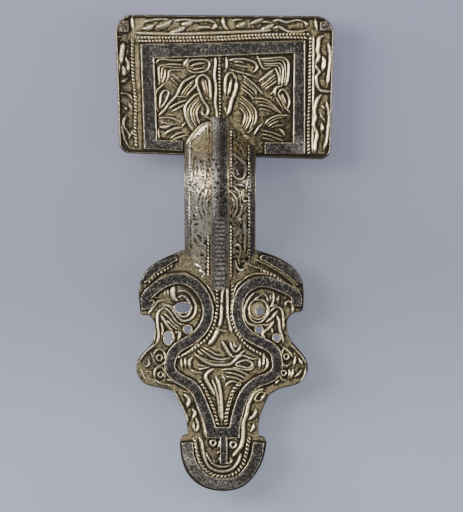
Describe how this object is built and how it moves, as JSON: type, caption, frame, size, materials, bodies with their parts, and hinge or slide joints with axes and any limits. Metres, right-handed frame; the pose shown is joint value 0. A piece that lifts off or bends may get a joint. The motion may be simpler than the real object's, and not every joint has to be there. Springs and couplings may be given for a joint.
{
  "type": "square-headed brooch",
  "caption": "Great square-headed bow brooch: cast silver-gilt plates in chip-carved relief, arched bow, pierced footplate and dark niello bands, with a closed pin behind.",
  "frame": {"origin": "on the surface the brooch lies on, under the middle of its bounding box", "axes": "+X to the right seen from the front, +Y along its length towards the headplate, +Z out of its face"},
  "size_m": [0.0633, 0.1378, 0.026],
  "materials": {
    "silver_gilt": "worn satin",
    "niello": "worn matt",
    "pin_metal": "tarnished"
  },
  "bodies": {
    "root": {"casting": "silver_gilt", "head_niello": "niello", "scroll_niello": "niello", "wing_niello_left": "niello", "wing_niello_right": "niello", "terminal_niello": "niello", "bow_niello_ridge": "niello", "bow_niello_left": "niello", "bow_niello_right": "niello", "pin": "pin_metal"}
  },
  "joints": []
}
